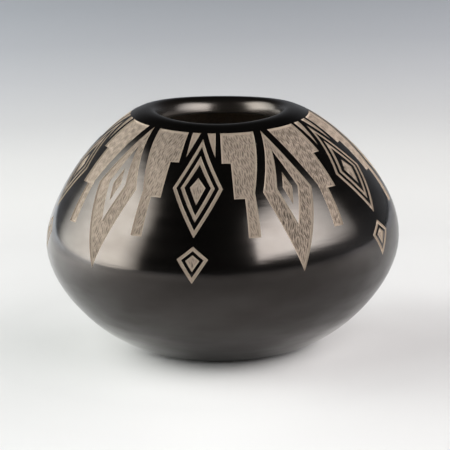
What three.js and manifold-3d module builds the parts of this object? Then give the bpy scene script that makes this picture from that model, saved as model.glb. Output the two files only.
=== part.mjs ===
// A squat, hand-coiled pottery bowl with a small incurved mouth, in millimetres, +Z up.
// The clay body is a shallow base pan, a stack of lapped wall coils and a rounded rim coil.
// A thin polished slip coats the outside and rolls over the lip into the throat, and an
// etched band of pennants and stepped flanks is scratched through it, down to the clay.
// The origin is the middle of the flat foot, and -Y is the side that the band is turned to.
import * as THREE from "three";
import { mergeVertices } from "three/addons/utils/BufferGeometryUtils.js";
import Module from "manifold-3d";

// Outside of the bowl
const BELLY_RADIUS = 63.65;
const BELLY_HEIGHT = 38.6;
const HEIGHT = 86.6;
const FOOT_RADIUS = 27.6;
const MOUTH_RADIUS = 25.2; // to the crest of the lip

// How far the outside keeps its direction before it turns: along the floor from the foot,
// below and above the belly, and level from the lip over the shoulder
const FOOT_REACH = 11.6;
const BELLY_DROP = 17.9;
const BELLY_RISE = 19.6;
const SHOULDER_REACH = 12;

// Lip: it rolls in from its crest, falls steeply down the throat and turns under to the inner wall
const THROAT_RADIUS = 21;
const THROAT_DROP = 5.4; // from the crest to the end of the slip
const THROAT_SLOPE = 7; // degrees from upright, at the end of the slip
const LIP_ROLL = 2.7; // how far the crest keeps level inwards
const THROAT_RISE = 3.2; // how far the throat is straight above its end
const LIP_TURN = 1.6; // how far it goes on down before it turns under
const UNDERSIDE_ARC = 7; // where it meets the inner wall, down from the crest
const UNDERSIDE_REACH = 3; // how far it has the inner wall's direction there

// Clay wall, slip and coils
const WALL = 5.2; // clay and slip together
const SLIP = 0.3;
const PAN_ARC = 27; // up the outside, from the foot to the first joint
const RIM_ARC = 9.5; // down the outside, from the crest to the last joint
const COIL_COUNT = 8;
const JOINT_LAP = 3; // how much lower a coil reaches on the inside than on the outside

// Etched band: widths as shares of one unit of the band, arcs down the outside from the crest of the lip
const UNIT_COUNT = 5;
const BAND_TURN = -46; // degrees, from -Y to the middle of the first unit
const BAND_TOP = 7;
const PENNANT_HALF = 0.145;
const PENNANT_MID_ARC = 34; // where a pennant is widest
const PENNANT_TIP_ARC = 64;
const FLANK_TOP = 0.07; // from the middle of the unit to the flank's inner top corner
const FLANK_GAP = 0.045; // slip left between a pennant and its flank
const STAIR_COUNT = 3; // stairs down the outer side of a flank
const STAIR_ARC = 14.5;
const STAIR_WIDTH = 0.057;
const DROP_MIDDLE = 0.5; // from the middle of the unit to the middle between two units
const DROP_HALF = 0.07;
const DROP_TOP_ARC = 53;
const DROP_MID_ARC = 57.5;
const DROP_TIP_ARC = 66;

// How finely the round forms are faceted
const SEGMENTS = 48;
const PAN_STEPS = 4;
const COIL_STEPS = 2;
const RIM_STEPS = 2;
const THROAT_STEPS = 5;
const UNDERSIDE_STEPS = 4;
const OUTLINE_ANGLE = 8; // degrees, at most, along a side of an etched field
const OUTLINE_ARC = 12; // and at most this far down it

// An etching cutter stands clear of the slip on both sides, further than the bowl bulges across a field
const CUTTER_OUT = 18;
const CUTTER_IN = 3;

const UNIT_ANGLE = 360 / UNIT_COUNT;
const CLAY_COLOUR = 0xa8967f;
const CLAY_ROUGHNESS = 0.9;
const SLIP_COLOUR = 0x141210;
const SLIP_ROUGHNESS = 0.18;

const wasm = await Module();
wasm.setup();

// The coated side as one curve: from the edge of the foot over the belly to the crest of the lip,
// and on down the throat to where the slip ends
const belly = new THREE.Vector2(BELLY_RADIUS, BELLY_HEIGHT);
const crest = new THREE.Vector2(MOUTH_RADIUS, HEIGHT);
const throatEnd = new THREE.Vector2(THROAT_RADIUS, HEIGHT - THROAT_DROP);
const throatFall = new THREE.Vector2(0, -1).rotateAround(
  new THREE.Vector2(),
  THREE.MathUtils.degToRad(-THROAT_SLOPE),
);
const lowerSide = new THREE.CubicBezierCurve(
  new THREE.Vector2(FOOT_RADIUS, 0),
  new THREE.Vector2(FOOT_RADIUS + FOOT_REACH, 0),
  new THREE.Vector2(BELLY_RADIUS, BELLY_HEIGHT - BELLY_DROP),
  belly,
);
const upperSide = new THREE.CubicBezierCurve(
  belly,
  new THREE.Vector2(BELLY_RADIUS, BELLY_HEIGHT + BELLY_RISE),
  new THREE.Vector2(MOUTH_RADIUS + SHOULDER_REACH, HEIGHT),
  crest,
);
const throatSide = new THREE.CubicBezierCurve(
  crest,
  new THREE.Vector2(MOUTH_RADIUS - LIP_ROLL, HEIGHT),
  throatEnd.clone().addScaledVector(throatFall, -THROAT_RISE),
  throatEnd,
);
const coated = new THREE.CurvePath();
coated.curves.push(lowerSide, upperSide, throatSide);
const COATED_ARC = coated.getLength();
const CREST_ARC = lowerSide.getLength() + upperSide.getLength();
const COIL_ARC = (CREST_ARC - PAN_ARC - RIM_ARC) / COIL_COUNT;

// A point of the wall's section: arc from the foot, depth in from the coated side
function wallPoint(arc, depth) {
  const share = arc / COATED_ARC;
  const point = coated.getPoint(share);
  const along = coated.getTangent(share);
  return new THREE.Vector2(point.x - depth * along.y, point.y + depth * along.x);
}

// The lip's underside, from the end of the slip to the inner wall
function undersideRun() {
  const wallEnd = wallPoint(CREST_ARC - UNDERSIDE_ARC, WALL);
  const wallAlong = coated.getTangent((CREST_ARC - UNDERSIDE_ARC) / COATED_ARC);
  return new THREE.CubicBezierCurve(
    throatEnd,
    throatEnd.clone().addScaledVector(throatFall, LIP_TURN),
    wallEnd.clone().addScaledVector(wallAlong, UNDERSIDE_REACH),
    wallEnd,
  ).getPoints(UNDERSIDE_STEPS);
}

function spaced(from, to, steps) {
  return Array.from({ length: steps + 1 }, (_, i) => from + ((to - from) * i) / steps);
}

function wallRun(from, to, steps, depth) {
  return spaced(from, to, steps).map((arc) => wallPoint(arc, depth));
}

function turned(section) {
  return new THREE.LatheGeometry(section, SEGMENTS).rotateX(Math.PI / 2);
}

function closedRing(section) {
  return turned([...section, section[0]]);
}

function solidOf(geometry) {
  const bare = geometry.clone();
  bare.deleteAttribute("normal");
  bare.deleteAttribute("uv");
  const merged = mergeVertices(bare);
  return new wasm.Manifold(
    new wasm.Mesh({
      numProp: 3,
      vertProperties: merged.attributes.position.array,
      triVerts: new Uint32Array(merged.index.array),
    }),
  );
}

function geometryOf(solid) {
  const mesh = solid.getMesh();
  const geometry = new THREE.BufferGeometry();
  geometry.setAttribute("position", new THREE.BufferAttribute(mesh.vertProperties, 3));
  geometry.setIndex(new THREE.BufferAttribute(mesh.triVerts, 1));
  geometry.computeVertexNormals();
  return geometry;
}

// Base pan: a pressed pancake of clay with the flat foot, whose edge takes the first coil
function basePan() {
  const edge = PAN_ARC - JOINT_LAP;
  return turned([
    new THREE.Vector2(0, 0),
    new THREE.Vector2(FOOT_RADIUS, 0),
    ...wallRun(0, PAN_ARC, PAN_STEPS, SLIP),
    ...wallRun(edge, 0, PAN_STEPS, WALL),
    new THREE.Vector2(0, WALL),
  ]);
}

// Wall coil: one rope of clay, pinched flat, that laps the piece below it on the inside
function wallCoil(index) {
  const from = PAN_ARC + index * COIL_ARC;
  const to = from + COIL_ARC;
  return closedRing([
    ...wallRun(from, to, COIL_STEPS, SLIP),
    ...wallRun(to - JOINT_LAP, from - JOINT_LAP, COIL_STEPS, WALL),
  ]);
}

// Rim coil: the last rope, rounded over into the lip. It steps out where the slip ends in the throat
function rimCoil() {
  const from = CREST_ARC - RIM_ARC;
  return closedRing([
    ...wallRun(from, CREST_ARC, RIM_STEPS, SLIP),
    ...wallRun(CREST_ARC, COATED_ARC, THROAT_STEPS, SLIP).slice(1),
    ...undersideRun(),
    ...wallRun(CREST_ARC - UNDERSIDE_ARC, from - JOINT_LAP, RIM_STEPS, WALL).slice(1),
  ]);
}

// The slip follows the clay's own stations, so that the two meet face to face
function slipRun(depth) {
  const lastJoint = CREST_ARC - RIM_ARC;
  return [
    ...wallRun(0, PAN_ARC, PAN_STEPS, depth),
    ...wallRun(PAN_ARC, lastJoint, COIL_COUNT * COIL_STEPS, depth).slice(1),
    ...wallRun(lastJoint, CREST_ARC, RIM_STEPS, depth).slice(1),
    ...wallRun(CREST_ARC, COATED_ARC, THROAT_STEPS, depth).slice(1),
  ];
}

// A place on the bowl: angle from -Y towards +X, arc down from the crest, depth in from the outside
function bowlPoint([degrees, arcFromCrest], depth) {
  const angle = THREE.MathUtils.degToRad(degrees);
  const section = wallPoint(CREST_ARC - arcFromCrest, depth);
  return [section.x * Math.sin(angle), -section.x * Math.cos(angle), section.y];
}

// One side of a field in short steps, so that it follows the bowl; the next side adds its end
function outlineSide(from, to) {
  const across = Math.abs(to[0] - from[0]) / OUTLINE_ANGLE;
  const down = Math.abs(to[1] - from[1]) / OUTLINE_ARC;
  const steps = Math.ceil(Math.max(across, down));
  return spaced(0, 1, steps)
    .slice(0, -1)
    .map((share) => from.map((value, axis) => value + (to[axis] - value) * share));
}

// A cutter for one etched field: its outline, carried from outside the slip to inside it
function etchingCutter(corners) {
  const outline = corners.flatMap((corner, i) => outlineSide(corner, corners[(i + 1) % corners.length]));
  const flat = outline.map(([degrees, arc]) => new THREE.Vector2(degrees, -arc));
  if (THREE.ShapeUtils.isClockWise(flat)) {
    flat.reverse();
    outline.reverse();
  }
  const count = outline.length;
  const faces = THREE.ShapeUtils.triangulateShape(flat, []);
  const index = faces.flatMap(([a, b, c]) => [a, b, c, count + c, count + b, count + a]);
  for (let i = 0; i < count; i++) {
    const next = (i + 1) % count;
    index.push(i, count + i, count + next, i, count + next, next);
  }
  const positions = [-CUTTER_OUT, CUTTER_IN].flatMap((depth) =>
    outline.flatMap((place) => bowlPoint(place, depth)),
  );
  const geometry = new THREE.BufferGeometry();
  geometry.setAttribute("position", new THREE.Float32BufferAttribute(positions, 3));
  geometry.setIndex(index);
  return solidOf(geometry);
}

// The fields of one unit of the band: a long pennant, its two stepped flanks, and a drop between units
function unitFields(turn) {
  const at = (share, arc) => [turn + share * UNIT_ANGLE, arc];
  const pennant = [
    at(0, BAND_TOP),
    at(PENNANT_HALF, PENNANT_MID_ARC),
    at(0, PENNANT_TIP_ARC),
    at(-PENNANT_HALF, PENNANT_MID_ARC),
  ];
  const inner = PENNANT_HALF + FLANK_GAP;
  const flank = (side) => {
    const stairs = spaced(STAIR_COUNT, 1, STAIR_COUNT - 1).flatMap((stair, i) => [
      at(side * (inner + stair * STAIR_WIDTH), BAND_TOP + i * STAIR_ARC),
      at(side * (inner + stair * STAIR_WIDTH), BAND_TOP + (i + 1) * STAIR_ARC),
    ]);
    return [
      at(side * FLANK_TOP, BAND_TOP),
      ...stairs,
      at(side * inner, BAND_TOP + STAIR_COUNT * STAIR_ARC),
      at(side * inner, PENNANT_MID_ARC),
    ];
  };
  const drop = [
    at(DROP_MIDDLE, DROP_TOP_ARC),
    at(DROP_MIDDLE + DROP_HALF, DROP_MID_ARC),
    at(DROP_MIDDLE, DROP_TIP_ARC),
    at(DROP_MIDDLE - DROP_HALF, DROP_MID_ARC),
  ];
  return [pennant, flank(-1), flank(1), drop];
}

// Slip coat: one thin skin over the clay, with the etched fields cut through it
function slipCoat() {
  let coat = solidOf(closedRing([...slipRun(0), ...slipRun(SLIP).reverse()]));
  for (let unit = 0; unit < UNIT_COUNT; unit++) {
    for (const field of unitFields(BAND_TURN + unit * UNIT_ANGLE)) {
      coat = coat.subtract(etchingCutter(field));
    }
  }
  return geometryOf(coat);
}

function clayMaterial() {
  return new THREE.MeshStandardMaterial({ color: CLAY_COLOUR, roughness: CLAY_ROUGHNESS, metalness: 0 });
}

function slipMaterial() {
  return new THREE.MeshStandardMaterial({ color: SLIP_COLOUR, roughness: SLIP_ROUGHNESS, metalness: 0 });
}

function piece(name, geometry, material) {
  const mesh = new THREE.Mesh(geometry, material);
  mesh.name = name;
  return mesh;
}

const clayBody = new THREE.Group();
clayBody.add(piece("base_pan", basePan(), clayMaterial()));
for (let i = 0; i < COIL_COUNT; i++) {
  clayBody.add(piece(`wall_coil_${i + 1}`, wallCoil(i), clayMaterial()));
}
clayBody.add(piece("rim_coil", rimCoil(), clayMaterial()));

const bowl = new THREE.Group();
bowl.add(clayBody);
bowl.add(piece("slip_coat", slipCoat(), slipMaterial()));

export default bowl;
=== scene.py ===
# %% [markdown]
# # A coiled bowl with a polished and etched slip
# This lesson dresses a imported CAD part: a squat bowl that is built from ropes of clay, coated with
# a black slip, rubbed to a shine with a stone, and etched through the slip down to the tan clay.
# The CAD part comes in as a fixed frame in metres. Each of its solids is replaced here by a finer
# piece of the same size in the same place, so nothing has to be fitted afterwards.

import math

import bpy
import numpy as np
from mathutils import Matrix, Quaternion, Vector
from mathutils.geometry import delaunay_2d_cdt


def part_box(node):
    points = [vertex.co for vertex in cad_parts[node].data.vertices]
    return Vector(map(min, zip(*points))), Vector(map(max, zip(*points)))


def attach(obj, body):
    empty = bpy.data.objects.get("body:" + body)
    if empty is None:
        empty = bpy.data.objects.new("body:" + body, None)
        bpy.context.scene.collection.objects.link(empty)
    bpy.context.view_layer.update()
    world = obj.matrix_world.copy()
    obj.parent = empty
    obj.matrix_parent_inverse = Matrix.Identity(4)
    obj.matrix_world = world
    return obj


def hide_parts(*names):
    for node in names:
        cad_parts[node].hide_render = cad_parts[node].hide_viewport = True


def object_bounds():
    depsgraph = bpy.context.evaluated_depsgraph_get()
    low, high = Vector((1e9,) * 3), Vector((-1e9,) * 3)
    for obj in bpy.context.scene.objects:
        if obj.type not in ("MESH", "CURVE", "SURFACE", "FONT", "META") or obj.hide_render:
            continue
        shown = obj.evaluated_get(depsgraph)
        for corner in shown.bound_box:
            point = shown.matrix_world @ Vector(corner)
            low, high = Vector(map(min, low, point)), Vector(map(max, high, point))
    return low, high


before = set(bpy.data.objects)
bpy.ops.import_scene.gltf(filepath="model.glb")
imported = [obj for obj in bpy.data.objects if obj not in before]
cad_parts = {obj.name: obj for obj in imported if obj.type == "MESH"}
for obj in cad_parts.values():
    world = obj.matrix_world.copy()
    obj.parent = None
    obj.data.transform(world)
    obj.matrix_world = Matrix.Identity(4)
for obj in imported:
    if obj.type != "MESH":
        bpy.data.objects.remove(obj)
cad_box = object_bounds()
MM = 0.001
print("CAD nodes:", ", ".join(sorted(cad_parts)))
print("CAD box in mm:", [[round(v / MM, 2) for v in corner] for corner in cad_box])

# %% [markdown]
# ## The sizes
# These are the maker's sizes, the same ones that the solids were built from. The height comes from
# the frame itself. Everything below is worked out from them, so a change here moves the clay, the
# slip and the etching together.

# %% Sizes of the bowl
HEIGHT = cad_box[1].z
BELLY_RADIUS = 63.65 * MM
BELLY_HEIGHT = 38.6 * MM
FOOT_RADIUS = 27.6 * MM
MOUTH_RADIUS = 25.2 * MM
FOOT_REACH = 11.6 * MM
BELLY_DROP = 17.9 * MM
BELLY_RISE = 19.6 * MM
SHOULDER_REACH = 12 * MM
THROAT_RADIUS = 21 * MM
THROAT_DROP = 5.4 * MM
THROAT_SLOPE = math.radians(7)
LIP_ROLL = 2.7 * MM
THROAT_RISE = 3.2 * MM
LIP_TURN = 1.6 * MM
UNDERSIDE_ARC = 7 * MM
UNDERSIDE_REACH = 3 * MM
WALL = 5.2 * MM
SLIP = 0.3 * MM
PAN_ARC = 27 * MM
RIM_ARC = 9.5 * MM
COIL_COUNT = 8
JOINT_LAP = 3 * MM

# %% [markdown]
# ## One line for the whole section
# A turned form is easiest to think of as one line, drawn in half a section, that is spun about the
# axis. Here the line starts in the middle of the inner floor, climbs the inner wall, turns under
# the lip and up the throat, runs down the outside and ends in the middle of the foot. It is
# measured by its length from the crest of the lip: positive down the outside, negative into the
# bowl. A screw modifier could spin such a line, but the etching needs to know where on the line
# each point lies, so the line is kept as a table that can be read at any length.

# %% Draw the section
SECTION_POINTS = 900


def bezier(start, leave, arrive, end):
    t = np.linspace(0, 1, SECTION_POINTS)[:, None]
    weights = ((1 - t) ** 3, 3 * (1 - t) ** 2 * t, 3 * (1 - t) * t**2, t**3)
    return sum(w * np.array(p) for w, p in zip(weights, (start, leave, arrive, end)))


def outward_of(line):
    step = np.gradient(line, axis=0)
    step /= np.linalg.norm(step, axis=1)[:, None]
    return np.column_stack([-step[:, 1], step[:, 0]])


def with_column(values, number):
    """Values with a number as one more column."""
    return np.column_stack([values, np.full(len(values), number)])


def lengths(line):
    return np.concatenate([[0], np.cumsum(np.linalg.norm(np.diff(line, axis=0), axis=1))])


crest = (MOUTH_RADIUS, HEIGHT)
belly = (BELLY_RADIUS, BELLY_HEIGHT)
shoulder_run = bezier(
    crest, (MOUTH_RADIUS + SHOULDER_REACH, HEIGHT), (BELLY_RADIUS, BELLY_HEIGHT + BELLY_RISE), belly
)
bottom_run = bezier(
    belly, (BELLY_RADIUS, BELLY_HEIGHT - BELLY_DROP), (FOOT_RADIUS + FOOT_REACH, 0), (FOOT_RADIUS, 0)
)
outside_run = np.vstack([shoulder_run, bottom_run[1:]])
outside_length = lengths(outside_run)
outside_out = outward_of(outside_run)
inside_wall = outside_run - WALL * outside_out
wall_end, wall_out = (
    np.array([np.interp(UNDERSIDE_ARC, outside_length, column) for column in run.T])
    for run in (inside_wall, outside_out)
)
inside_run = np.vstack([wall_end, inside_wall[outside_length > UNDERSIDE_ARC]])[::-1]

# %% [markdown]
# The lip is the one place where the inside doesn't run beside the outside: the throat falls
# steeply from the crest, and its underside swings out to meet the inner wall. Two Bezier curves
# do that, each leaving in the direction in which its neighbour arrives.

# %% Draw the lip and join the section
throat_end = np.array((THROAT_RADIUS, HEIGHT - THROAT_DROP))
throat_fall = np.array((-math.sin(THROAT_SLOPE), -math.cos(THROAT_SLOPE)))
wall_rise = np.array((-wall_out[1], wall_out[0]))
underside_run = bezier(
    wall_end, wall_end + UNDERSIDE_REACH * wall_rise, throat_end + LIP_TURN * throat_fall, throat_end
)
throat_run = bezier(
    throat_end, throat_end - THROAT_RISE * throat_fall, (MOUTH_RADIUS - LIP_ROLL, HEIGHT), crest
)
floor_run = np.linspace((0, WALL), inside_run[0], SECTION_POINTS)
runs_inside = (floor_run, inside_run, underside_run, throat_run)
foot_run = np.linspace(outside_run[-1], (0, 0), SECTION_POINTS)
section = np.vstack([*(run[:-1] for run in runs_inside), outside_run, foot_run[1:]])
section_arc = lengths(section)
section_arc -= section_arc[-len(foot_run) - len(outside_run) + 1]
section_out = outward_of(section)
FOOT_ARC = outside_length[-1]
THROAT_ARC = -lengths(throat_run)[-1]
FLOOR_MIDDLE_ARC = section_arc[0]
FOOT_MIDDLE_ARC = section_arc[-1]
inside_arc = THROAT_ARC - lengths(underside_run)[-1]
inside_length = lengths(inside_run[::-1])
print(f"outside {FOOT_ARC / MM:.1f} mm from crest to foot, lip polished {-THROAT_ARC / MM:.1f} mm inwards")


def read(column, arc):
    return np.interp(arc, section_arc, column)


def behind(arc):
    """The place on the inner wall that lies straight behind a place on the outside."""
    steps = np.concatenate([[UNDERSIDE_ARC], outside_length[outside_length > UNDERSIDE_ARC]])
    return inside_arc - np.interp(arc, steps, inside_length)


# %% [markdown]
# ## The maker's hand
# A bowl that is built by hand is never quite round. Its mouth is a little tilted, its lip sags
# between two high sides, its shoulder leans, and the polished wall swells and sinks by a hair,
# which is what bends the reflections. `place` puts a point of the unrolled wall into space with
# all of this added, and every piece is laid out with it, so slip and clay always agree. All of it
# takes away from the full size, so nothing grows out of the CAD box.

# %% Put a point of the wall into space
TILT_RIGHT = math.tan(math.radians(1.055))
TILT_BACK = math.tan(math.radians(0.373))
TILT_START = 45 * MM
LIP_SAG = 1.237 * MM
LIP_SAG_TURN = 0.074
LIP_SAG_POWER = 6
SHOULDER_LEAN = 0.517 * MM
MOUTH_LEAN = 0.088 * MM
POLISH_LOSS = 0.15 * MM
SWELL_FADE = 14 * MM
# (how deep, waves round the bowl, radians per metre down the wall, where it starts)
OUTER_SWELLS = [
    (0.12 * MM, 2, 0, 0.6),
    (0.07 * MM, 3, 34, 4.1),
    (0.035 * MM, 5, -62, 2.2),
    (0.02 * MM, 9, 130, 0.9),
]
INNER_SWELLS = [(0.25 * MM, 3, 40, 1.4), (0.16 * MM, 1, 560, 0.3), (0.1 * MM, 7, 150, 2.5)]


def smooth(x):
    x = np.clip(x, 0, 1)
    return x * x * (3 - 2 * x)


def swells(kinds, angle, arc):
    return sum(
        deep * (1 + np.cos(around * angle + down * arc + start)) / 2
        for deep, around, down, start in kinds
    )


def hand_wave(angle, arc):
    """How far the wall lies behind its true line, in metres."""
    outer = smooth(arc / SWELL_FADE) * smooth((FOOT_ARC - arc) / SWELL_FADE)
    inner = smooth((inside_arc - arc) / SWELL_FADE) * smooth(read(section[:, 0], arc) / FOOT_RADIUS)
    lost = POLISH_LOSS + swells(OUTER_SWELLS, angle, arc)
    return outer * lost - inner * swells(INNER_SWELLS, angle, arc)


def place(angle, arc, depth):
    depth = depth + hand_wave(angle, arc)
    radius = read(section[:, 0], arc) - depth * read(section_out[:, 0], arc)
    height = read(section[:, 1], arc) - depth * read(section_out[:, 1], arc)
    x, y = radius * np.sin(angle), -radius * np.cos(angle)
    tilt = TILT_RIGHT * (x + MOUTH_RADIUS) + TILT_BACK * y
    tilt = tilt * smooth((height - TILT_START) / (HEIGHT - TILT_START))
    sag = LIP_SAG * (1 + np.cos(2 * angle + LIP_SAG_TURN)) / 2 * (height / HEIGHT) ** LIP_SAG_POWER
    above_belly = np.clip((height - BELLY_HEIGHT) / (HEIGHT - BELLY_HEIGHT), 0, 1)
    lean = SHOULDER_LEAN * np.sin(math.pi * above_belly) + MOUTH_LEAN * smooth(above_belly)
    return np.column_stack([x + lean, y, height - tilt - sag])


NORMAL_STEP = 0.4 * MM


def outward(angle, arc):
    """The direction that the polished wall faces at a place."""
    turn_step = NORMAL_STEP / np.maximum(read(section[:, 0], arc), NORMAL_STEP)
    across = place(angle + turn_step, arc, 0) - place(angle - turn_step, arc, 0)
    down = place(angle, arc + NORMAL_STEP, 0) - place(angle, arc - NORMAL_STEP, 0)
    facing = np.cross(down, across)
    return facing / np.linalg.norm(facing, axis=1)[:, None]


# %% [markdown]
# ## The etched band
# The ornament is a ring of equal units: a long pennant, a stepped flank on each side of it, and a
# nested lozenge, two small triangles and a drop between one unit and the next. It is drawn on the
# unrolled wall, with widths as shares of a unit and lengths down from the lip. Every outline says
# on which side of it the slip is scratched away, so outlines can be nested: a line is two of them,
# one inside the other.

# %% Draw one unit of the band
UNIT_COUNT = 5
UNIT = 2 * math.pi / UNIT_COUNT
BAND_TURN = math.radians(-46)
BAND_TOP = 7 * MM
BETWEEN = -0.5
PENNANT_HALF = 0.145
PENNANT_MID = 34 * MM
PENNANT_TIP = 64 * MM
# (half width, top, widest place, tip)
RESERVE = (0.062, 17 * MM, 33 * MM, 47 * MM)
NEST = (0.139, 10.2 * MM, 32 * MM, 50 * MM)
DROP = (0.07, 53 * MM, 57.5 * MM, 66 * MM)
FLANK_TOP = 0.07
FLANK_GAP = 0.045
STAIR_COUNT = 3
STAIR_ARC = 14.5 * MM
STAIR_WIDTH = 0.057
# (near corner, far corner, tip)
TRIANGLE = (0.03, 0.1, 0.098)
TRIANGLE_END = 19 * MM


def lozenge(middle, half, top, mid, tip):
    return [(middle, top), (middle + half, mid), (middle, tip), (middle - half, mid)]


def flank(side):
    inner = PENNANT_HALF + FLANK_GAP
    corners = [(side * FLANK_TOP, BAND_TOP)]
    for stair in range(STAIR_COUNT):
        edge = side * (inner + (STAIR_COUNT - stair) * STAIR_WIDTH)
        corners += [(edge, BAND_TOP + stair * STAIR_ARC), (edge, BAND_TOP + (stair + 1) * STAIR_ARC)]
    return corners + [(side * inner, BAND_TOP + STAIR_COUNT * STAIR_ARC), (side * inner, PENNANT_MID)]


def triangle(side):
    near, far, tip = (BETWEEN + side * reach for reach in TRIANGLE)
    return [(near, BAND_TOP), (far, BAND_TOP), (tip, TRIANGLE_END)]


pennant = lozenge(0, PENNANT_HALF, BAND_TOP, PENNANT_MID, PENNANT_TIP)
reserve = lozenge(0, *RESERVE)
nest = lozenge(BETWEEN, *NEST)
drop = lozenge(BETWEEN, *DROP)
print(f"a unit is {UNIT * BELLY_RADIUS / MM:.1f} mm wide at the belly")

# %% [markdown]
# An outline on a curved wall can't be shrunk by scaling. Each of its corners moves along the
# mitre of its two sides instead, measured in true millimetres at that height of the bowl.

# %% Outlines that follow the wall
SIDE_STEP = 1.5 * MM


def inset(corners, distance):
    """The outline moved into itself, or out of itself where the distance is negative."""
    radius = read(section[:, 0], corners[:, 1])
    sides = np.roll(corners, -1, axis=0) - corners
    sides[:, 0] *= (radius + np.roll(radius, -1)) / 2
    sides /= np.linalg.norm(sides, axis=1)[:, None]
    inwards = np.column_stack([-sides[:, 1], sides[:, 0]])
    before = np.roll(inwards, 1, axis=0)
    mitre = (inwards + before) / (1 + (inwards * before).sum(1))[:, None]
    return corners + distance * mitre / with_column(radius, 1)


class Outline:
    """A closed line on the wall, with the slip gone inside it (side 1) or outside it (side -1)."""

    def __init__(self, corners, start=0, side=1, field=True, tilt=0):
        corners = np.array(corners) * (UNIT, 1)
        following = np.roll(corners, -1, axis=0)
        area = (corners[:, 0] * following[:, 1] - following[:, 0] * corners[:, 1]).sum()
        self.corners = inset(corners if area > 0 else corners[::-1], start)
        self.side, self.field = side, field
        self.middle = self.corners.mean(0)
        self.cos, self.sin = math.cos(tilt), math.sin(tilt)
        across = np.roll(self.corners, -1, axis=0) - self.corners
        across[:, 0] *= read(section[:, 0], self.corners[:, 1])
        self.steps = np.ceil(np.linalg.norm(across, axis=1) / SIDE_STEP).astype(int)

    def points(self, away=0):
        """The line in short steps, moved away from the slip by some distance."""
        corners = inset(self.corners, self.side * away)
        ends = np.roll(corners, -1, axis=0)
        runs = [a + (b - a) * np.arange(n)[:, None] / n for a, b, n in zip(corners, ends, self.steps)]
        return np.vstack(runs)


def within(points, ring):
    """Which points lie inside a closed line."""
    x, y = points[:, 0, None], points[:, 1, None]
    x0, y0 = ring.T
    x1, y1 = np.roll(ring, -1, axis=0).T
    rise = np.where(y1 == y0, 1, y1 - y0)
    crosses = ((y0 > y) != (y1 > y)) & (x < x0 + (y - y0) * (x1 - x0) / rise)
    return crosses.sum(1) % 2 == 1


# %% [markdown]
# The wide forms are fields, which get points for every stroke of the tool later on; the lines and
# the small triangles are too narrow for that. The strokes of a flank lean with its edge.

# %% Collect the outlines of a unit
LINE = 1.2 * MM
RESERVE_CORE = 2.1 * MM
NEST_STEP = 2.6 * MM
NEST_CORE = 5.6 * MM
DROP_CORE = 2.3 * MM
FLANK_TILT = math.radians(12)


def line(corners, start, width):
    return [Outline(corners, start, 1, False), Outline(corners, start + width, -1, False)]


etched = [
    Outline(pennant),
    Outline(reserve, 0, -1),
    Outline(reserve, RESERVE_CORE),
    Outline(flank(-1), tilt=FLANK_TILT),
    Outline(flank(1), tilt=-FLANK_TILT),
    *line(nest, 0, LINE),
    *line(nest, NEST_STEP, LINE),
    Outline(nest, NEST_CORE),
    Outline(triangle(-1), field=False),
    Outline(triangle(1), field=False),
    *line(drop, 0, LINE),
    Outline(drop, DROP_CORE),
]
print(len(etched), "outlines in a unit of the band")

# %% [markdown]
# ## Meshing the unrolled wall
# A mesh of the wall has to keep every outline as an edge, and that is what a constrained Delaunay
# triangulation does: it joins given points into well-shaped triangles and never crosses a given
# edge. One unit of the band is meshed flat, between two seams that run through plain slip, and
# then laid round the bowl once for each unit. `Patchwork` collects such flat patches, puts them
# into space and welds them where their points meet.

# %% Triangles between given edges
FLAT_RADIUS = 55 * MM
SEAM_SHARES = (0.381, 0.381, 0.332, 0.332)
SEAM_ARCS = (0, 22.5 * MM, 29 * MM, FOOT_ARC)
TRIANGLES_INSIDE = 1
SAME_POINT = 1e-5


def seam(arc):
    """The angle at which a unit ends on the right."""
    return np.interp(arc, SEAM_ARCS, SEAM_SHARES) * UNIT


def triangulated(lines, loose):
    """Triangles over the given lines, as (points, closed), and loose points between them."""
    edges = []
    count = 0
    for run, closed in lines:
        last = count + len(run) - 1
        edges += [(i, i + 1) for i in range(count, last)]
        if closed:
            edges.append((last, count))
        count = last + 1
    points = np.vstack([*(run for run, _ in lines), loose])
    flat = points * (FLAT_RADIUS / MM, 1 / MM)
    spots = [Vector(p) for p in flat]
    corners, _, faces, sources, _, _ = delaunay_2d_cdt(spots, edges, [], TRIANGLES_INSIDE, SAME_POINT)
    found = np.array([tuple(c) for c in corners]) / (FLAT_RADIUS / MM, 1 / MM)
    for i, source in enumerate(sources):
        if source:
            found[i] = points[source[0]]
    return found, np.array([face[::-1] for face in faces])


def clear_of(points, lines, gap):
    """The points that keep a gap from all points of the lines."""
    keep = np.ones(len(points), bool)
    flat = points * (FLAT_RADIUS, 1)
    for run, _ in lines:
        away = np.linalg.norm(flat[:, None] - (run * (FLAT_RADIUS, 1))[None], axis=2)
        keep &= away.min(1) > gap
    return points[keep]


# %% Patches welded into a mesh
WELD = 1e-7


def in_scene(name, data):
    made = bpy.data.objects.new(name, data)
    bpy.context.collection.objects.link(made)
    return made


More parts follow.
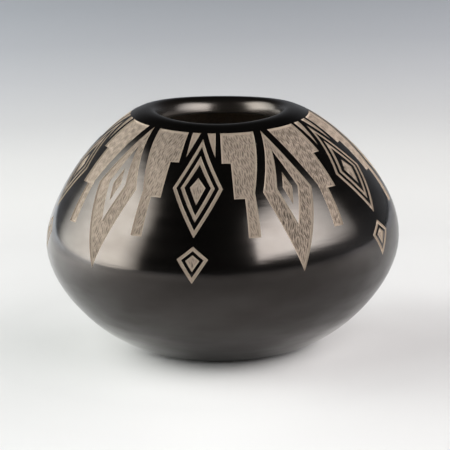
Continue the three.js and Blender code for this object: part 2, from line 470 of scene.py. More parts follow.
class Patchwork:
    def __init__(self):
        self.places, self.faces, self.finishes, self.marks = [], [], [], []
        self.count = 0

    def add(self, places, faces, finish, mark=None):
        """Places as (angle, arc, depth), faces as index tuples, and one finish or one for each face."""
        self.places.append(places)
        self.faces += [tuple(i + self.count for i in face) for face in faces]
        self.finishes += list(np.broadcast_to(finish, len(faces)))
        self.marks.append(np.zeros(len(places)) if mark is None else mark)
        self.count += len(places)

    def piece(self, name):
        """The welded piece, and the places of its points."""
        places = np.vstack(self.places)
        points = place(*places.T)
        grid = np.round(points / WELD)
        _, first, index = np.unique(grid, axis=0, return_index=True, return_inverse=True)
        index = index.reshape(-1)
        faces = []
        finishes = []
        for face, finish in zip(self.faces, self.finishes):
            welded = list(dict.fromkeys(int(index[i]) for i in face))
            if len(welded) > 2:
                faces.append(welded)
                finishes.append(int(finish))
        made = bpy.data.meshes.new(name)
        made.from_pydata(points[first].tolist(), [], faces)
        made.polygons.foreach_set("material_index", finishes)
        marks = np.concatenate(self.marks)
        for label, values in (("arc", places[first, 1]), ("stroke", marks[first])):
            made.attributes.new(label, "FLOAT", "POINT").data.foreach_set("value", values)
        edges = [key for polygon in made.polygons for key in polygon.edge_keys]
        _, uses = np.unique(edges, axis=0, return_counts=True)
        print(f"{name}: {len(faces)} faces, {(uses != 2).sum()} open edges")
        return in_scene(name, made), places[first]


# %% [markdown]
# ## Where the pieces meet
# The clay body is a pressed pan, a stack of coils and a rim coil. Their joints slant: a coil
# reaches lower on the inside than on the outside, because the maker drags the clay down over
# the coil below. The joints lie at even steps down the outside.

# %% Joints between the pieces
COIL_ARC = (FOOT_ARC - PAN_ARC - RIM_ARC) / COIL_COUNT
joints = [FOOT_ARC - PAN_ARC - k * COIL_ARC for k in range(COIL_COUNT + 1)]
for k in range(COIL_COUNT):
    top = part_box(f"wall_coil_{k + 1}")[1].z
    joint_height = read(section[:, 1], joints[k + 1])
    print(f"wall_coil_{k + 1}: joint at {joint_height / MM:.1f} mm, CAD top at {top / MM:.1f} mm")

# %% [markdown]
# ## Slip coat
# The slip is a skin of fine clay, thinner than a fingernail. It is meshed as a closed shell: a
# polished face, the same face again a slip's thickness lower, and the cut walls between them. A
# solidify modifier would give straight walls, but an etching point leaves them sloped, so the
# lower face reaches a little further into the cuts.

# %% Lay out the slip
UNIT_COLUMNS = 30
GRID_ARC = 3 * MM
LIP_GRID_ARC = 0.45 * MM
LIP_GRID_END = 4 * MM
SLIP_CLEAR = 1.1 * MM
CUT_SLOPE = 0.16 * MM
columns = np.arange(UNIT_COLUMNS + 1) / UNIT_COLUMNS - 1


def unit_row(end, arc):
    """A row of points across a unit, up to the angle where it ends on the right."""
    return with_column(end + columns * UNIT, arc)


def closed_frame(arcs):
    """The edges of a unit's patch as one closed run: its two seams, and its top and bottom rows."""
    right = np.column_stack([seam(arcs), arcs])
    left = right - (UNIT, 0)
    top, bottom = (unit_row(seam(arc), arc) for arc in (arcs[0], arcs[-1]))
    return np.vstack([top[:-1], right[:-1], bottom[:0:-1], left[:0:-1]])


def grid_points(arcs):
    return np.vstack([unit_row(seam(arc), arc)[1:-1] for arc in arcs[1:-1]])


def slip_gone(points):
    """Which points lie where the slip is etched away: inside an odd number of outlines."""
    odd = np.zeros(len(points), bool)
    for edge in etched:
        odd ^= within(points, edge.points())
    return odd


# rows down the wall, close together where it rolls over the lip
lip_rows = np.linspace(THROAT_ARC, LIP_GRID_END, round((LIP_GRID_END - THROAT_ARC) / LIP_GRID_ARC))
wall_rows = np.linspace(LIP_GRID_END, FOOT_ARC, round((FOOT_ARC - LIP_GRID_END) / GRID_ARC))
slip_arcs = np.unique(np.concatenate([lip_rows, wall_rows]))
slip_lines = [(closed_frame(slip_arcs), True)] + [(edge.points(), True) for edge in etched]
slip_grid = clear_of(grid_points(slip_arcs), slip_lines[1:], SLIP_CLEAR)
slip_points, slip_faces = triangulated(slip_lines, slip_grid)
slip_faces = slip_faces[~slip_gone(slip_points[slip_faces].mean(1))]
print(len(slip_points), "points and", len(slip_faces), "faces in a unit of polished slip")

# %% Close the slip's shell
POLISHED, CUT, SLIP_END = 0, 1, 2
SEAM_WIDTH = 1e-9
under_points = slip_points.copy()
for edge in etched:
    for point, lower in zip(edge.points(), edge.points(CUT_SLOPE)):
        under_points[(slip_points == point).all(1)] = lower
used = np.unique(slip_faces)
compact = np.zeros(len(slip_points), int)
compact[used] = np.arange(len(used))
slip_points, under_points, slip_faces = slip_points[used], under_points[used], compact[slip_faces]
from_right = slip_points[:, 0] - seam(slip_points[:, 1])
seam_point = np.minimum(abs(from_right), abs(from_right + UNIT)) < SEAM_WIDTH
links = {(face[i], face[(i + 1) % 3]) for face in slip_faces.tolist() for i in range(3)}
walls = []
for a, b in links:
    # a wall stands on an edge with a face on one side only, but not where the next unit goes on
    if (b, a) not in links and not (seam_point[a] and seam_point[b]):
        walls.append((b, a, a + len(used), b + len(used)))
at_end = np.isin(slip_points[:, 1], (THROAT_ARC, FOOT_ARC))
wall_finish = [SLIP_END if at_end[a] and at_end[b] else CUT for b, a, _, _ in walls]
slip_work = Patchwork()
for unit in range(UNIT_COUNT):
    shift = (BAND_TURN + unit * UNIT, 0)
    both = np.vstack([with_column(slip_points + shift, 0), with_column(under_points + shift, SLIP)])
    slip_work.add(both, slip_faces.tolist(), POLISHED)
    slip_work.add(both, (slip_faces[:, ::-1] + len(used)).tolist(), CUT)
    slip_work.add(both, walls, wall_finish)
slip_coat, slip_places = slip_work.piece("polished_slip")
slip_mesh = slip_coat.data

# %% [markdown]
# ## Clay under the slip
# Where the slip is gone, the clay shows, and it is not flat: the point of the tool has first cut
# a clean channel along every outline and then scratched the field inside it, stroke by stroke.
# A bump map would do for the render, but the strokes are as wide as a pencil line, so they are
# modelled. Only the etched fields get the many points that this takes. The hand pressed a little
# harder on the right of the bowl than on the left: the strokes there are deeper, and their painted
# shade is darker.

# %% Depth of the etching
ETCH_DEPTH = 0.5 * MM
CUT_FOOT = 0.28 * MM
BORDER = 0.5 * MM
STROKE_GAP = 0.85 * MM
STROKE_LENGTH = 3.6 * MM
STROKE_DEPTH = 0.3 * MM
STROKE_FADE = 0.35 * MM
STROKE_LEVEL = 0.5
STROKE_LEAST = 0.6
PRESSURE_AND_SHADE_SWING = 0.2
# (how far the rows wander, radians per metre along them and across them)
WANDERS = [(0.3 * MM, 620, 260), (0.22 * MM, 1450, -700)]
LUCK_SEED = 7
LUCK_SIZE = 64
LUCK_STEP = 5
KEYS_PER_UNIT = 11
stroke_luck = np.random.default_rng(LUCK_SEED).random((LUCK_SIZE, LUCK_SIZE, 2))
slip_edges = [(edge.points(), np.roll(edge.points(), -1, axis=0)) for edge in etched]


def from_slip(points):
    """Distance of each point to the nearest outline, in true metres."""
    nearest = np.full(len(points), np.inf)
    scale = with_column(read(section[:, 0], points[:, 1]), 1)[:, None]
    for start, end in slip_edges:
        side = (end - start)[None] * scale
        reach = (points[:, None] - start[None]) * scale
        along = np.clip((reach * side).sum(2) / (side * side).sum(2), 0, 1)
        away = np.linalg.norm(reach - along[:, :, None] * side, axis=2)
        nearest = np.minimum(nearest, away.min(1))
    return nearest


def field_place(edge, points):
    """Points as distances across and along the strokes of a field."""
    x = (points[:, 0] - edge.middle[0]) * read(section[:, 0], points[:, 1])
    y = points[:, 1] - edge.middle[1]
    return np.column_stack([x * edge.cos - y * edge.sin, x * edge.sin + y * edge.cos])


def wall_place(edge, across, along):
    """The way back: points of the wall for such distances."""
    arc = edge.middle[1] - across * edge.sin + along * edge.cos
    angle = edge.middle[0] + (across * edge.cos + along * edge.sin) / read(section[:, 0], arc)
    return np.column_stack([angle, arc])


def strokes(across, along, key):
    """Depth of the tool strokes from 0 to 1: wandering rows of short dents, each a little different."""
    across = across + sum(far * np.sin(a * along + b * across + key) for far, a, b in WANDERS)
    row = np.floor(across / STROKE_GAP).astype(int)
    run = along / STROKE_LENGTH + stroke_luck[row % LUCK_SIZE, key % LUCK_SIZE, 0]
    dent = np.floor(run).astype(int)
    luck = stroke_luck[(row + LUCK_STEP * key) % LUCK_SIZE, dent % LUCK_SIZE, 1]
    strength = STROKE_LEAST + (1 - STROKE_LEAST) * luck
    hollow = strength * np.sin(math.pi * (across / STROKE_GAP - row))
    return hollow * np.sqrt(np.sin(math.pi * (run - dent)))


# %% Points for the scratched fields
STROKE_ACROSS = STROKE_GAP / 4
STROKE_ALONG = 0.65 * MM
BORDER_CLEAR = 0.12 * MM
fields = [edge for edge in etched if edge.field and edge.side == 1]


def stroke_points(edge):
    """Points in rows along the strokes of a field, on the joints where they come near one."""
    spots = field_place(edge, edge.points())
    low, high = spots.min(0), spots.max(0)
    first = np.floor(low[0] / STROKE_ACROSS)
    across = (first + np.arange((high[0] - low[0]) / STROKE_ACROSS + 2)) * STROKE_ACROSS
    along = np.arange(low[1], high[1], STROKE_ALONG)
    grid = np.array(np.meshgrid(across, along)).reshape(2, -1)
    points = wall_place(edge, *grid)
    points = points[within(points, edge.points(BORDER))]
    for joint in joints:
        points[abs(points[:, 1] - joint) < STROKE_ALONG / 2, 1] = joint
    return points


floor_points = np.vstack([stroke_points(edge) for edge in fields])
floor_points = floor_points[slip_gone(floor_points)]
floor_points = floor_points[from_slip(floor_points) > BORDER + BORDER_CLEAR]
print(len(floor_points), "points for the scratched fields of a unit")

# %% [markdown]
# The clay's outer face is meshed like the slip, with more lines to keep: the joints between the
# pieces, and the foot and the inner edge of every channel.

# %% Lay out the clay's outer face
CLAY_CLEAR = 1.2 * MM
SNAP = 0.001 * MM
clay_arcs = np.unique(np.concatenate([slip_arcs, joints]))
clay_lines = [(closed_frame(clay_arcs), True)]
clay_lines += [(unit_row(seam(joint), joint), False) for joint in joints]
edge_lines = []
for edge in etched:
    edge_lines += [(edge.points(CUT_SLOPE), True), (edge.points(CUT_FOOT), True)]
    if edge.field:
        edge_lines.append((edge.points(BORDER), True))
plain_points = clear_of(grid_points(clay_arcs), edge_lines, CLAY_CLEAR)
plain_points = plain_points[~slip_gone(plain_points)]
clay_points, clay_faces = triangulated(clay_lines + edge_lines, np.vstack([plain_points, floor_points]))
for joint in joints:
    clay_points[abs(clay_points[:, 1] - joint) < SNAP, 1] = joint
print(len(clay_points), "points and", len(clay_faces), "faces in a unit of the clay")

# %% Sort the clay's faces by finish
SMOKED, SCRATCHED, CHANNEL = 0, 1, 2
face_middles = clay_points[clay_faces].mean(1)
bare_face = slip_gone(face_middles)
clay_finish = np.where(bare_face, SCRATCHED, SMOKED)
clay_finish[bare_face] = np.where(from_slip(face_middles[bare_face]) < BORDER, CHANNEL, SCRATCHED)
bare = slip_gone(clay_points)
bare_points = clay_points[bare]
bare_reach = from_slip(bare_points)
bare_depth = np.interp(bare_reach, (CUT_SLOPE, CUT_FOOT), (SLIP, ETCH_DEPTH))
bare_field = np.zeros(len(bare_points), int)
for number, edge in enumerate(fields):
    bare_field[within(bare_points, edge.points())] = number


def clay_depths(unit):
    """Depth and stroke of every point of the clay's outer face in one unit."""
    depth = np.full(len(clay_points), SLIP)
    stroke = np.zeros(len(clay_points))
    dents = np.zeros(len(bare_points))
    for number, edge in enumerate(fields):
        chosen = bare_field == number
        spots = field_place(edge, bare_points[chosen])
        dents[chosen] = strokes(*spots.T, KEYS_PER_UNIT * unit + number)
    # deeper strokes on the right; through the stored stroke, also darker painted shade there
    dents *= 1 + PRESSURE_AND_SHADE_SWING * np.sin(bare_points[:, 0] + BAND_TURN + unit * UNIT)
    fade = smooth((bare_reach - BORDER) / STROKE_FADE)
    depth[bare] = bare_depth + fade * STROKE_DEPTH * (dents - STROKE_LEVEL)
    stroke[bare] = fade * dents
    return depth, stroke


unit_depths = [clay_depths(unit) for unit in range(UNIT_COUNT)]
print(f"etched down to {max(depth.max() for depth, _ in unit_depths) / MM:.2f} mm")

# %% [markdown]
# ## Clay pieces
# Each piece of the body is a closed form of its own: a stretch of the outer face, the slanted
# joints above and below it, and the inner wall behind it. The rim's inner wall starts where the
# slip ends in the throat, and the pan is closed by the foot below and the floor above.

# %% Patches for joints and inner walls
INNER_GRID = 2.5 * MM


def strip(lower_angles, lower_arc, upper_angles, upper_arc, arcs):
    """A patch of the wall between two rows of points, with rows of its own between them."""
    share = (arcs - lower_arc) / (upper_arc - lower_arc)
    right = np.column_stack([lower_angles[-1] + share * (upper_angles[-1] - lower_angles[-1]), arcs])
    lower = with_column(lower_angles, lower_arc)
    upper = with_column(upper_angles, upper_arc)
    ring = np.vstack([lower, right, upper[::-1], right[::-1] - (UNIT, 0)])
    rows = [unit_row(end, arc)[1:-1] for end, arc in right]
    return triangulated([(ring, True)], np.vstack(rows))


def row_of(points, arc):
    """The points of a unit that lie on one row, from left to right."""
    chosen = np.flatnonzero(points[:, 1] == arc)
    return chosen[np.argsort(points[chosen, 0])]


def rows_between(start, end, spacing):
    """Even rows from one place on the section to another, without the two themselves."""
    return np.linspace(start, end, max(2, round(abs(end - start) / spacing)) + 1)[1:-1]


def lathe(angles, arcs):
    """Rows of points with the same angles, joined into quads."""
    places = np.array([(angle, arc, 0) for arc in arcs for angle in angles])
    wide = len(angles)
    starts = [row * wide + i for row in range(len(arcs) - 1) for i in range(wide - 1)]
    faces = [(a, a + 1, a + wide + 1, a + wide) for a in starts]
    return places, [face[::-1] for face in faces] if arcs[1] < arcs[0] else faces


# %% Build the clay pieces
def clay_piece(name, top_arc, bottom_arc):
    """One piece of the body between two rows of the outer face."""
    work = Patchwork()
    chosen = (face_middles[:, 1] > top_arc) & (face_middles[:, 1] < bottom_arc)
    top_row = row_of(clay_points, top_arc)
    bottom_row = row_of(clay_points, bottom_arc)
    is_rim = top_arc == THROAT_ARC
    is_pan = bottom_arc == FOOT_ARC
    top_behind = THROAT_ARC if is_rim else behind(top_arc + JOINT_LAP)
    bottom_behind = FOOT_ARC if is_pan else behind(bottom_arc + JOINT_LAP)
    for unit in range(UNIT_COUNT):
        shift = BAND_TURN + unit * UNIT
        depth, stroke = unit_depths[unit]
        outer = np.column_stack([clay_points + (shift, 0), depth])
        work.add(outer, clay_faces[chosen].tolist(), clay_finish[chosen], stroke)
        for row, arc, facing in ((top_row, top_behind, 1), (bottom_row, bottom_behind, -1)):
            wide = len(row)
            inner = with_column(with_column(outer[row, 0], arc), 0)
            quads = [(i, i + 1, i + 1 + wide, i + wide)[::facing] for i in range(wide - 1)]
            work.add(np.vstack([outer[row], inner]), quads, SMOKED)
        top_angles = clay_points[top_row, 0] + shift
        bottom_angles = clay_points[bottom_row, 0] + shift
        if is_pan:
            inner_floor = (top_angles, top_behind, FLOOR_MIDDLE_ARC)
            foot = (bottom_angles, FOOT_ARC, FOOT_MIDDLE_ARC)
            for angles, start, end in (inner_floor, foot):
                work.add(*lathe(angles, [start, *rows_between(start, end, INNER_GRID), end]), SMOKED)
        else:
            arcs = rows_between(bottom_behind, top_behind, LIP_GRID_ARC if is_rim else INNER_GRID)
            points, faces = strip(bottom_angles, bottom_behind, top_angles, top_behind, arcs)
            work.add(with_column(points, 0), faces.tolist(), SMOKED)
    return work.piece(name)[0]


clay = {"rim_coil": clay_piece("clay_rim", THROAT_ARC, joints[-1])}
for k in range(COIL_COUNT):
    clay[f"wall_coil_{k + 1}"] = clay_piece(f"clay_coil_{k + 1}", joints[k + 1], joints[k])
clay["base_pan"] = clay_piece("clay_pan", joints[0], FOOT_ARC)

# %% [markdown]
# ## Normals
# A polished wall mirrors the room, so the smallest facet would show. The slip's shading normals
# are therefore set one by one: every polished corner gets the direction that the wall really faces
# there, and the cut walls keep the flat direction of their own face. The clay is matte, so plain
# smooth shading with sharp joints is enough for it.

# %% Set the normals
SHARP = math.radians(55)
slip_mesh.shade_smooth()
wall_facing = outward(slip_places[:, 0], slip_places[:, 1])
corner_facing = []
for polygon in slip_mesh.polygons:
    for vertex in polygon.vertices:
        is_polished = polygon.material_index == POLISHED
        corner_facing.append(wall_facing[vertex] if is_polished else polygon.normal)
slip_mesh.normals_split_custom_set(corner_facing)
for piece in clay.values():
    piece.data.shade_smooth()
    piece.data.set_sharp_from_angle(angle=SHARP)
print(len(corner_facing), "corner normals on the slip")

# %% [markdown]
# ## Effects that the finishes share
# Fired clay is never one colour. Smoke leaves soft clouds on it, and under the hand it is a fine
# grit. Both are built once as node groups and placed in each finish with its own values.

# %% Helpers for node trees
def fill(tree, node, **inputs):
    """Inputs by name, or by number as in _1; a socket is linked and a constant is set."""
    for name, value in inputs.items():
        socket = node.inputs[int(name[1:])] if name[0] == "_" else node.inputs[name.replace("_", " ")]
        if isinstance(value, bpy.types.NodeSocket):
            tree.links.new(value, socket)
        else:
            socket.default_value = value


def add(tree, kind, settings=None, **inputs):
    """The outputs of a new node."""
    node = tree.nodes.new("ShaderNode" + kind)
    for name, value in (settings or {}).items():
        setattr(node, name, value)
    fill(tree, node, **inputs)
    return node.outputs


def maths(tree, operation, *values):
    inputs = {f"_{i}": value for i, value in enumerate(values)}
    return add(tree, "Math", {"operation": operation}, **inputs)[0]


def mapped(tree, value, start, end, low=0.0, high=1.0, kind="LINEAR"):
    """A number that goes from low to high while the value goes from start to end."""
    inputs = {"_1": start, "_2": end, "_3": low, "_4": high}
    return add(tree, "MapRange", {"interpolation_type": kind}, Value=value, **inputs)[0]


def blended(tree, factor, first, second, kind="MIX"):
    settings = {"data_type": "RGBA", "blend_type": kind}
    return add(tree, "Mix", settings, Factor=factor, _6=first, _7=second)[2]


def noise(tree, at, detail):
    return add(tree, "TexNoise", None, Vector=at, Scale=1.0, Detail=detail)["Fac"]


def tones(tree, value, *stops):
    """A colour ramp over a value, with stops as (position, colour)."""
    ramp = add(tree, "ValToRGB", None, Fac=value)[0]
    marks = ramp.node.color_ramp.elements
    while len(marks) < len(stops):
        marks.new(0.5)
    for mark, (position, colour) in zip(marks, stops):
        mark.position = position
        mark.color = (*colour, 1)
    return ramp


def bumped(tree, height, strength, depth):
    return add(tree, "Bump", None, Strength=strength, Distance=depth, Height=height)["Normal"]


# %% Where a finish is, and how it starts
def object_place(tree):
    return add(tree, "TexCoord")["Object"]


def scaled_place(tree, scale):
    settings = {"operation": "SCALE"}
    return add(tree, "VectorMath", settings, _0=object_place(tree), Scale=scale)[0]


def split(tree, vector):
    return add(tree, "SeparateXYZ", None, Vector=vector)


def stored(tree, label):
    """A number stored on the mesh."""
    return add(tree, "Attribute", {"attribute_name": label})["Fac"]


def new_finish(name):
    """A material, its tree and its shader."""
    material = bpy.data.materials.new(name)
    material.use_nodes = True
    tree = material.node_tree
    return material, tree, tree.nodes["Principled BSDF"]


# %% Smoke clouds and grit
CLOUD_EDGES = (0.3, 0.7)
CLOUD_DETAIL = 3.0
GRAIN_DETAIL = 2.0


def new_group(name, inputs, output):
    """A node group with numbers going in and one coming out."""
    group = bpy.data.node_groups.new(name, "ShaderNodeTree")
    for label, value in inputs.items():
        socket = group.interface.new_socket(label, in_out="INPUT", socket_type="NodeSocketFloat")
        socket.default_value = value
    group.interface.new_socket(output, in_out="OUTPUT", socket_type="NodeSocketFloat")
    return group, group.nodes.new("NodeGroupInput").outputs, group.nodes.new("NodeGroupOutput").inputs


def use(tree, group, **inputs):
    return add(tree, "Group", {"node_tree": group}, **inputs)[0]


clouds, given, put = new_group("Smoke clouds", {"Scale": 30.0, "Contrast": 0.5}, "Cloud")
cloud = noise(clouds, scaled_place(clouds, given["Scale"]), CLOUD_DETAIL)
low, high = (maths(clouds, "MULTIPLY_ADD", given["Contrast"], side, 0.5) for side in (-0.5, 0.5))
clouds.links.new(mapped(clouds, cloud, *CLOUD_EDGES, low, high), put["Cloud"])

grit, given, put = new_group("Clay grit", {"Scale": 1400.0}, "Grain")
grit.links.new(noise(grit, scaled_place(grit, given["Scale"]), GRAIN_DETAIL), put["Grain"])
print("node groups:", ", ".join(g.name for g in bpy.data.node_groups))

# %% [markdown]
# ## Polished slip
# The slip is rubbed with a smooth stone until it shines. The strokes of the stone run round the
# bowl and leave faint bands of more and less shine, a few millimetres high and longer than a
# finger is wide. A noise that is squeezed along the section line and stretched around the bowl
# gives such bands. It drives the roughness, the black and a very low bump. Where the stone went
# more often, a thin coat adds gloss; down the throat, the slip gets duller and browner.

# %% Polished slip
# (stretch round the bowl and down the wall, detail)
STREAKS = (34, 280, 3.0)
RUBBED = (75, 150, 2.0)
# (noise from and to, coat or roughness at the one and at the other)
GLOSS = (0.3, 0.7, 0.0, 0.42)
SHINE = (0.35, 1.0, 0.12, 0.18)
GLOSS_ROUGHNESS = 0.15
SLIP_CLOUD_SCALE = 40.0
SLIP_CLOUD_SHARE = 0.35
SLIP_TONES = ((0.35, (0.0011, 0.0010, 0.0009)), (0.95, (0.0020, 0.0017, 0.0015)))
LIP_POLISH_END = 2 * MM
THROAT_DULL = 0.12
THROAT_BROWN = (0.014, 0.0115, 0.0095, 1)
RIPPLE_STRENGTH = 0.3
RIPPLE_HEIGHT = 0.2 * MM
SLIP_IOR = 1.745
SLIP_TINT = (1.0, 0.889, 0.834, 1)


def wall_noise(tree, at, around, down, detail):
    """A noise stretched round the bowl."""
    settings = {"operation": "MULTIPLY"}
    stretched = add(tree, "VectorMath", settings, _0=at, _1=(around, around, down))[0]
    return noise(tree, stretched, detail)


slip_finish, tree, surface = new_finish("polished_slip")
where = split(tree, object_place(tree))
down = stored(tree, "arc")
wall_spot = add(tree, "CombineXYZ", None, X=where["X"], Y=where["Y"], Z=down)[0]
streaks = wall_noise(tree, wall_spot, *STREAKS)
gloss = mapped(tree, wall_noise(tree, wall_spot, *RUBBED), *GLOSS)
smoke = use(tree, clouds, Scale=SLIP_CLOUD_SCALE, Contrast=1.0)
uneven = maths(tree, "MULTIPLY_ADD", smoke, SLIP_CLOUD_SHARE, streaks)
shine = mapped(tree, uneven, *SHINE)
throat = mapped(tree, down, LIP_POLISH_END, THROAT_ARC)
black = tones(tree, uneven, *SLIP_TONES)
worn = blended(tree, maths(tree, "MULTIPLY", throat, throat), black, THROAT_BROWN)
dull = maths(tree, "MULTIPLY_ADD", throat, THROAT_DULL, shine)
ripple = bumped(tree, streaks, RIPPLE_STRENGTH, RIPPLE_HEIGHT)
fill(tree, surface, Base_Color=worn, Roughness=dull, Normal=ripple, Coat_Weight=gloss)
fill(tree, surface, Coat_Roughness=GLOSS_ROUGHNESS, IOR=SLIP_IOR, Specular_Tint=SLIP_TINT)
print(len(tree.nodes), "nodes in the polished slip")

# %% [markdown]
# ## Bare clay
# Where the tool went, the clay is its own tan. In the scratched fields each stroke has a darker
# bottom and a lighter ridge, painted shade in the dent that is read from the stroke stored on the
# mesh, and grit breaks it up. The channels along the outlines are cut clean, so they are paler and
# smoother. The inside and the foot were never slipped: they are a dull brown with clouds of smoke,
# with painted shade that darkens them near the lip. One function makes all three, because only
# the values differ.

# %% Bare and smoked clay
CLAY_CLOUD_SCALE = 55.0
CLAY_CLOUD_SHARE = 0.4
GRIT_HEIGHT = 0.2 * MM
CLAY_SPECULAR = 0.25
# painted shade inside the bowl, just under the lip: how far it reaches, and its colour
LIP_SHADE_REACH = 7 * MM
PAINTED_LIP_SHADE = (0.018, 0.015, 0.012, 1)


def clay_finish_of(name, stops, grit_scale, grit_share, bump, roughness, stroke_shade_share=0.0, shade_near_lip=False):
    material, tree, surface = new_finish(name)
    grain = use(tree, grit, Scale=grit_scale)
    smoke = use(tree, clouds, Scale=CLAY_CLOUD_SCALE)
    # painted shade: the bottom of each stroke is darker than its ridge
    tone = maths(tree, "MULTIPLY_ADD", stored(tree, "stroke"), -stroke_shade_share, stroke_shade_share)
    tone = maths(tree, "MULTIPLY_ADD", grain, grit_share, tone)
    tone = maths(tree, "MULTIPLY_ADD", smoke, CLAY_CLOUD_SHARE, tone)
    colour = tones(tree, tone, *stops)
    # painted shade: the clay darkens towards the lip, under its roll
    if shade_near_lip:
        from_lip = maths(tree, "ABSOLUTE", maths(tree, "SUBTRACT", stored(tree, "arc"), THROAT_ARC))
        colour = blended(tree, mapped(tree, from_lip, LIP_SHADE_REACH, 0.0), colour, PAINTED_LIP_SHADE)
    rough = bumped(tree, grain, bump, GRIT_HEIGHT)
    fill(tree, surface, Base_Color=colour, Normal=rough, Roughness=roughness)
    fill(tree, surface, Specular_IOR_Level=CLAY_SPECULAR)
    return material


scratched_finish = clay_finish_of(
    "scratched_clay",
    stops=((0.34, (0.085, 0.0662, 0.05)), (0.66, (0.233, 0.187, 0.149)), (0.92, (0.377, 0.305, 0.245))),
    grit_scale=1700.0, grit_share=0.3, bump=0.5, roughness=0.92, stroke_shade_share=0.62,
)
channel_finish = clay_finish_of(
    "cut_channel",
    stops=((0.2, (0.34, 0.277, 0.22)), (0.8, (0.47, 0.388, 0.312))),
    grit_scale=1500.0, grit_share=0.6, bump=0.25, roughness=0.8,
)
smoked_finish = clay_finish_of(
    "smoked_clay",
    stops=((0.25, (0.19, 0.16, 0.13)), (0.6, (0.32, 0.27, 0.22)), (1.0, (0.45, 0.385, 0.32))),
    grit_scale=900.0, grit_share=0.6, bump=0.5, roughness=0.9, shade_near_lip=True,
)

# %% [markdown]
# The slip's shell wears the clean cut on the walls that the tool left, and polish on the rest.
# A clay piece is smoked, apart from what the etching bares.

# %% Put the finishes on the pieces
for material in (slip_finish, channel_finish, slip_finish):
    slip_mesh.materials.append(material)
for piece in clay.values():
    for material in (smoked_finish, scratched_finish, channel_finish):
        piece.data.materials.append(material)
print("a clay piece wears", ", ".join(m.name for m in piece.data.materials))

# %% [markdown]
# ## Fastening the pieces to the frame
# Each piece stands for one CAD node and rides on the bowl's only body.

# %% Fasten the pieces
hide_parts("slip_coat")
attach(slip_coat, "root")
for node, piece in clay.items():
    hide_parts(node)
    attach(piece, "root")

# %% [markdown]
# ## Table and studio
# The bowl stands on a pale table between two large soft lights, in a room that is dark in front
# and above: that is what its polish shows. The table runs far back; its colour carries painted
# shade, darker behind the bowl and falling off to a cool grey far back, and painted light, which
# lifts it close round the foot. In the polish it shows a painted reflection: dimmer in front of
# the bowl, and brighter on the left and close beside the foot; the Light Path node tells the table
# when it is seen in a mirror.

# %% Table
TABLE_SIZE = 6
TABLE_ROUGHNESS = 0.7
TABLE_SPECULAR = 0.1
# painted light and shade: the paper is lighter close round the foot and darker far back
# (metres from the bowl's axis, colour)
TABLE_TONES_WITH_PAINTED_LIGHT = (
    (0.035, (0.945, 0.945, 0.945)),
    (0.06, (0.84, 0.84, 0.844)),
    (0.085, (0.77, 0.77, 0.777)),
    (0.12, (0.75, 0.75, 0.758)),
    (0.17, (0.757, 0.757, 0.765)),
    (0.24, (0.753, 0.753, 0.757)),
    (0.32, (0.684, 0.685, 0.692)),
    (0.4, (0.571, 0.575, 0.592)),
    (0.5, (0.492, 0.5, 0.53)),
    (0.6, (0.422, 0.436, 0.473)),
    (0.72, (0.386, 0.406, 0.447)),
)
# painted shade behind the bowl comes first, then the levels of the table's painted reflection in the
# polish
# (from and to in metres, level at the one and at the other)
PAINTED_SHADE_BEHIND_BOWL = (0.0, 0.15, 1.0, 0.8)
FAR_IN_FRONT = (-1.0, -0.2, 0.2, 1.0)
NEAR_IN_FRONT = (-0.13, 0.0, 0.44, 0.9)
ON_THE_LEFT = (-0.2, -0.05, 1.6, 0.9)
ON_THE_RIGHT = (-0.05, 0.05, 1.0, 0.9)
PAINTED_REFLECTION_BESIDE_FOOT = (0.012, 0.035, 0.0, 1.0)
PAINTED_REFLECTION_CLOSE_TO_FOOT = (0.034, 0.052, 0.85, 0.0)
half = TABLE_SIZE / 2
table_corners = [(-half, -half, 0), (half, -half, 0), (half, half, 0), (-half, half, 0)]
table_mesh = bpy.data.meshes.new("table")
table_mesh.from_pydata(table_corners, [], [(0, 1, 2, 3)])
table = in_scene("table", table_mesh)
table_finish, tree, surface = new_finish("table_paper")
spot = split(tree, object_place(tree))
flat_spot = add(tree, "CombineXYZ", None, X=spot["X"], Y=spot["Y"])[0]
away = add(tree, "VectorMath", {"operation": "LENGTH"}, _0=flat_spot)["Value"]
paper = tones(tree, away, *TABLE_TONES_WITH_PAINTED_LIGHT)
# painted shade: the paper is darkened behind the bowl
seen = blended(tree, 1.0, paper, mapped(tree, spot["Y"], *PAINTED_SHADE_BEHIND_BOWL), "MULTIPLY")
beside = mapped(tree, maths(tree, "ABSOLUTE", spot["X"]), *PAINTED_REFLECTION_BESIDE_FOOT)
level = maths(tree, "MULTIPLY_ADD", beside, mapped(tree, away, *PAINTED_REFLECTION_CLOSE_TO_FOOT), 1.0)
for axis, change in (("Y", FAR_IN_FRONT), ("Y", NEAR_IN_FRONT), ("X", ON_THE_LEFT), ("X", ON_THE_RIGHT)):
    level = maths(tree, "MULTIPLY", level, mapped(tree, spot[axis], *change))
# painted reflection: the paper is lighter or darker where the polish shows it
painted_reflection = blended(tree, 1.0, seen, level, "MULTIPLY")
in_mirror = add(tree, "LightPath")["Is Glossy Ray"]
colour = blended(tree, in_mirror, seen, painted_reflection)
fill(tree, surface, Base_Color=colour, Roughness=TABLE_ROUGHNESS, Specular_IOR_Level=TABLE_SPECULAR)
table_mesh.materials.append(table_finish)

# %% [markdown]
# The two lights that the polish shows are upright panels of cloth with a lamp behind each of them,
# so they fade towards their edges. An area lamp is even, but its own shader can read where on its
# face the light leaves it, and a ramp from each edge makes the fade. A polished wall shows the
# panels far brighter than matte clay and paper can bear, so the panels are seen in the polish only.
# Plainer lamps light the clay and the table: two keys, and low ones that reach under the belly.

# %% Lights
TARGET = Vector((0, 0, 39 * MM))
PANEL_DISTANCE = 0.9
FILL_DISTANCE = 0.95
WARM = (1.0, 0.967, 0.955)
COOL = (0.975, 1.0, 0.968)


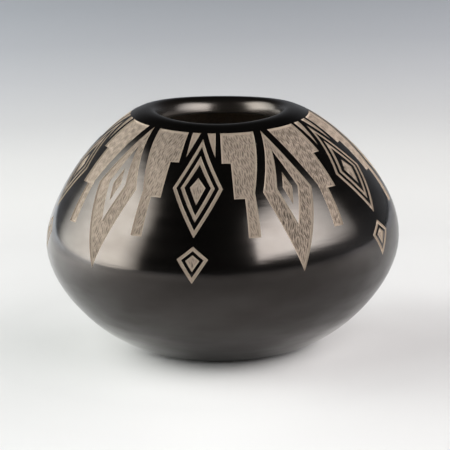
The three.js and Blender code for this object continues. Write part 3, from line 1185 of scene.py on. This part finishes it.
def direction(bearing, elevation):
    """Away from the bowl; the bearing is counted from the camera's side to the right."""
    turn, rise = math.radians(bearing), math.radians(elevation)
    return Vector((math.sin(turn) * math.cos(rise), -math.cos(turn) * math.cos(rise), math.sin(rise)))


def area_lamp(name, spot, back, width, height, radiance, colour):
    data = bpy.data.lights.new(name, "AREA")
    data.shape = "RECTANGLE"
    data.size, data.size_y = width, height
    data.energy = radiance * math.pi * width * height
    data.color = colour
    lamp = in_scene(name, data)
    lamp.location = spot
    lamp.rotation_euler = back.to_track_quat("Z", "Y").to_euler()
    return lamp


def cloth_panel(name, bearing, width, low, high, radiance, colour, right, left, lower, upper):
    """An upright panel; the last four are the shares over which its edges fade, as the bowl sees it."""
    back = direction(bearing, 0)
    middle = back * PANEL_DISTANCE + Vector((0, 0, (low + high) / 2))
    lamp = area_lamp(name, middle, back, width, high - low, radiance, colour)
    lamp.visible_diffuse = False
    lamp.data.use_nodes = True
    tree = lamp.data.node_tree
    across = split(tree, add(tree, "NewGeometry")["Parametric"])
    level = 1.0
    for axis, edge, inner in (("X", 0, right), ("X", 1, 1 - left), ("Y", 0, lower), ("Y", 1, 1 - upper)):
        level = maths(tree, "MULTIPLY", level, mapped(tree, across[axis], edge, inner))
    tree.links.new(level, tree.nodes["Emission"].inputs["Strength"])


cloth_panel(
    "right_panel",
    bearing=60, width=1.46, low=0.185, high=1.35, radiance=7.4, colour=(1.0, 0.99, 0.96),
    right=0.01, left=0.58, lower=0.13, upper=0.46,
)
cloth_panel(
    "left_panel",
    bearing=-94, width=1.56, low=0.0, high=1.3, radiance=6.6, colour=(1.0, 0.99, 0.92),
    right=0.56, left=0.24, lower=0.01, upper=0.35,
)
# bearing and elevation in degrees, width and height in metres, radiance, colour
FILL_LIGHTS = {
    "right_key": (52, 33, 0.9, 0.9, 2.4, WARM),
    "left_key": (-84, 37.5, 1.08, 0.9, 2.2, COOL),
    "right_back": (115, 16, 1.0, 0.5, 8.3, WARM),
    "left_back": (-120, 16, 1.0, 0.5, 8.2, COOL),
    "left_front": (-50, 12, 0.8, 0.35, 1.4, COOL),
}
for name, (bearing, elevation, *light) in FILL_LIGHTS.items():
    back = direction(bearing, elevation)
    area_lamp(name, TARGET + back * FILL_DISTANCE, back, *light).visible_glossy = False
print(len(FILL_LIGHTS), "lamps light the clay and the table")

# %% [markdown]
# The room is dark, apart from a faint glow low down behind the table and far to the right.

# %% World
GLOW_HEIGHT = (0.65, 0.0)
GLOW_BEHIND = (0.2, 0.9)
GLOW_RIGHT = (0.7, 1.0)
ROOM_TONES = ((0.0, (0.012, 0.012, 0.012)), (1.0, (0.16, 0.165, 0.175)))
world = bpy.data.worlds.new("dark_room")
world.use_nodes = True
tree = world.node_tree
facing = split(tree, add(tree, "TexCoord")["Generated"])
low, back, right = (
    mapped(tree, facing[axis], *edges, kind="SMOOTHSTEP")
    for axis, edges in (("Z", GLOW_HEIGHT), ("Y", GLOW_BEHIND), ("X", GLOW_RIGHT))
)
glow = maths(tree, "MULTIPLY", low, maths(tree, "MAXIMUM", back, right))
tree.links.new(tones(tree, glow, *ROOM_TONES), tree.nodes["Background"].inputs["Color"])
bpy.context.scene.world = world

# %% [markdown]
# ## Camera
# A long lens from a little above, as for a catalogue picture, held a little askew.

# %% Camera
CAMERA_DISTANCE = 1143 * MM
CAMERA_ELEVATION = 13.97
CAMERA_ROLL = math.radians(1.59)
CAMERA_LENS = 253.87
AIM_RIGHT = 0.98 * MM
AIM_UP = 3.5 * MM
camera_data = bpy.data.cameras.new("camera")
camera_data.lens = CAMERA_LENS
camera = in_scene("camera", camera_data)
back = direction(0, CAMERA_ELEVATION)
up = direction(180, 90 - CAMERA_ELEVATION)
camera.location = TARGET + back * CAMERA_DISTANCE
aim = TARGET + up * AIM_UP + Vector((AIM_RIGHT, 0, 0))
level = (camera.location - aim).to_track_quat("Z", "Y")
camera.rotation_euler = (level @ Quaternion((0, 0, 1), -CAMERA_ROLL)).to_euler()
bpy.context.scene.camera = camera
bpy.context.scene.view_settings.view_transform = "Standard"

# %% [markdown]
# The dressed bowl must not be larger than its CAD box, so both boxes are written down.

# %% Update the scene
bpy.context.view_layer.update()
